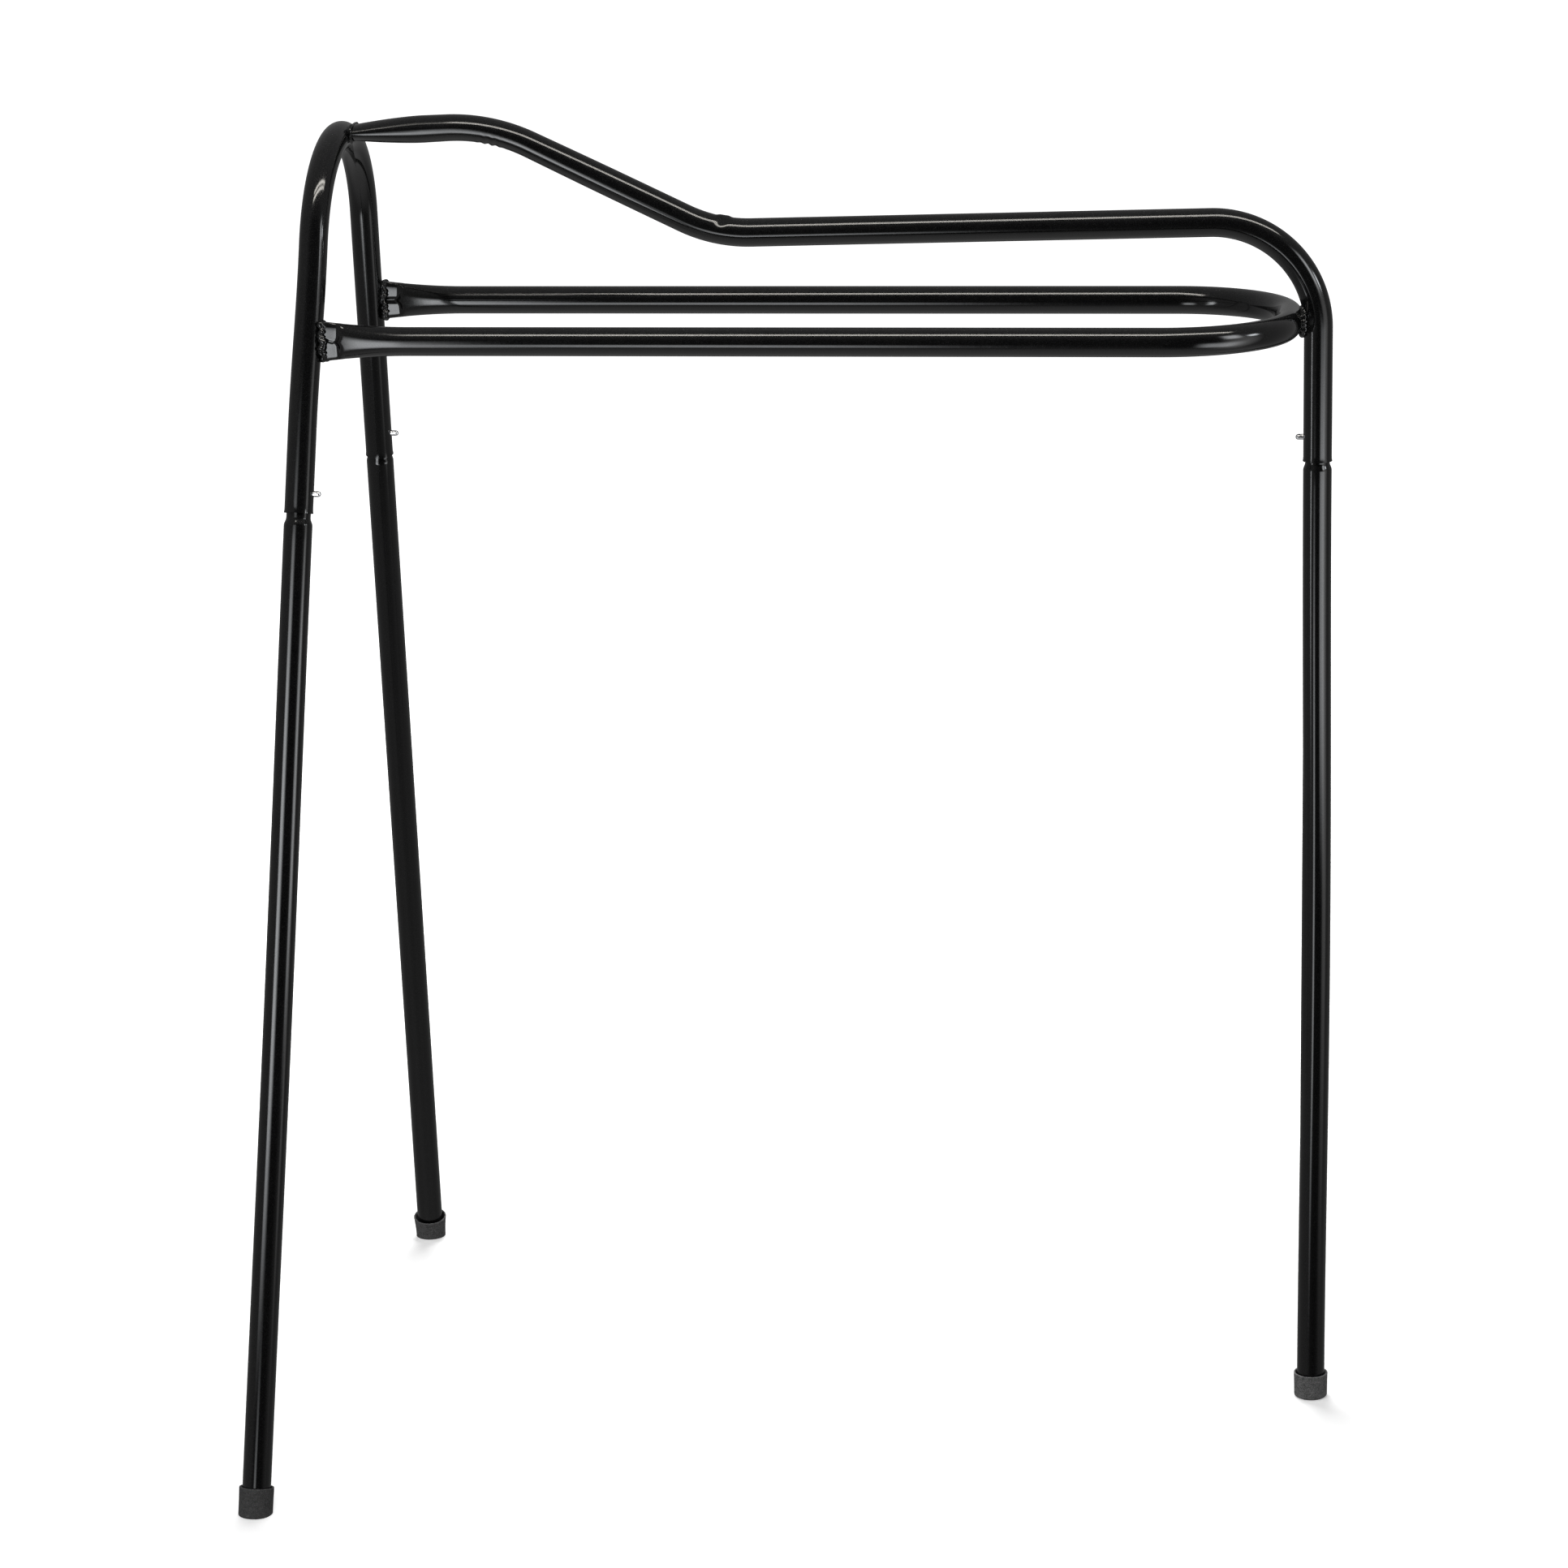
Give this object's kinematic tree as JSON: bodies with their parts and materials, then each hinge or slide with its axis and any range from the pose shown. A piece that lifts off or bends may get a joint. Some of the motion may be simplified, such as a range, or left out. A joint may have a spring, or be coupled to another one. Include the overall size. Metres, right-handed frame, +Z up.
{
  "type": "saddle stand",
  "caption": "Knock-down tubular saddle stand: dropped top rail over a hairpin side-rail loop, welded upper frame, plug-in lower legs with snap buttons and rubber feet.",
  "frame": {"origin": "on the floor, under the middle of the stand's overall box", "axes": "+X from the front arch towards the rear post, +Y to the stand's right side, +Z up"},
  "size_m": [0.7106, 0.5654, 0.8946],
  "materials": {
    "frame_paint": "gloss black powder coat over steel tube",
    "leg_paint": "gloss black powder coat over steel tube",
    "foot_rubber": "matt dark grey rubber",
    "button_chrome": "bright plated steel",
    "spring_steel": "bare spring strip"
  },
  "bodies": {
    "frame": {"front_arch": "frame_paint", "top_rail_post": "frame_paint", "side_rail_loop": "frame_paint", "weld_top_rail": "frame_paint", "weld_loop_left": "frame_paint", "weld_loop_right": "frame_paint", "weld_loop_post": "frame_paint"},
    "leg_front_left": {"leg_front_left": "leg_paint", "foot_cap_front_left": "foot_rubber", "snap_spring_front_left": "spring_steel"},
    "leg_front_right": {"leg_front_right": "leg_paint", "foot_cap_front_right": "foot_rubber", "snap_spring_front_right": "spring_steel"},
    "leg_rear": {"leg_rear": "leg_paint", "foot_cap_rear": "foot_rubber", "snap_spring_rear": "spring_steel"},
    "button_front_left": {"snap_button_front_left": "button_chrome"},
    "button_front_right": {"snap_button_front_right": "button_chrome"},
    "button_rear": {"snap_button_rear": "button_chrome"}
  },
  "joints": [
    {"name": "leg_front_left_slide", "type": "slide", "parent": "frame", "child": "leg_front_left", "axis": [-0.0335, -0.2309, -0.9724], "range_m": [0, 0.12]},
    {"name": "leg_front_right_slide", "type": "slide", "parent": "frame", "child": "leg_front_right", "axis": [-0.0335, 0.2309, -0.9724], "range_m": [0, 0.12]},
    {"name": "leg_rear_slide", "type": "slide", "parent": "frame", "child": "leg_rear", "axis": [0, 0, -1], "range_m": [0, 0.12]},
    {"name": "button_front_left_press", "type": "slide", "parent": "leg_front_left", "child": "button_front_left", "axis": [-0.9994, 0.0077, 0.0325], "range_m": [0, 0.007], "stiffness_N_per_m": 1500, "springref_m": -0.003, "deforming": ["snap_spring_front_left"]},
    {"name": "button_front_right_press", "type": "slide", "parent": "leg_front_right", "child": "button_front_right", "axis": [-0.9994, -0.0077, 0.0325], "range_m": [0, 0.007], "stiffness_N_per_m": 1500, "springref_m": -0.003, "deforming": ["snap_spring_front_right"]},
    {"name": "button_rear_press", "type": "slide", "parent": "leg_rear", "child": "button_rear", "axis": [1, 0, 0], "range_m": [0, 0.007], "stiffness_N_per_m": 1500, "springref_m": -0.003, "deforming": ["snap_spring_rear"]}
  ]
}
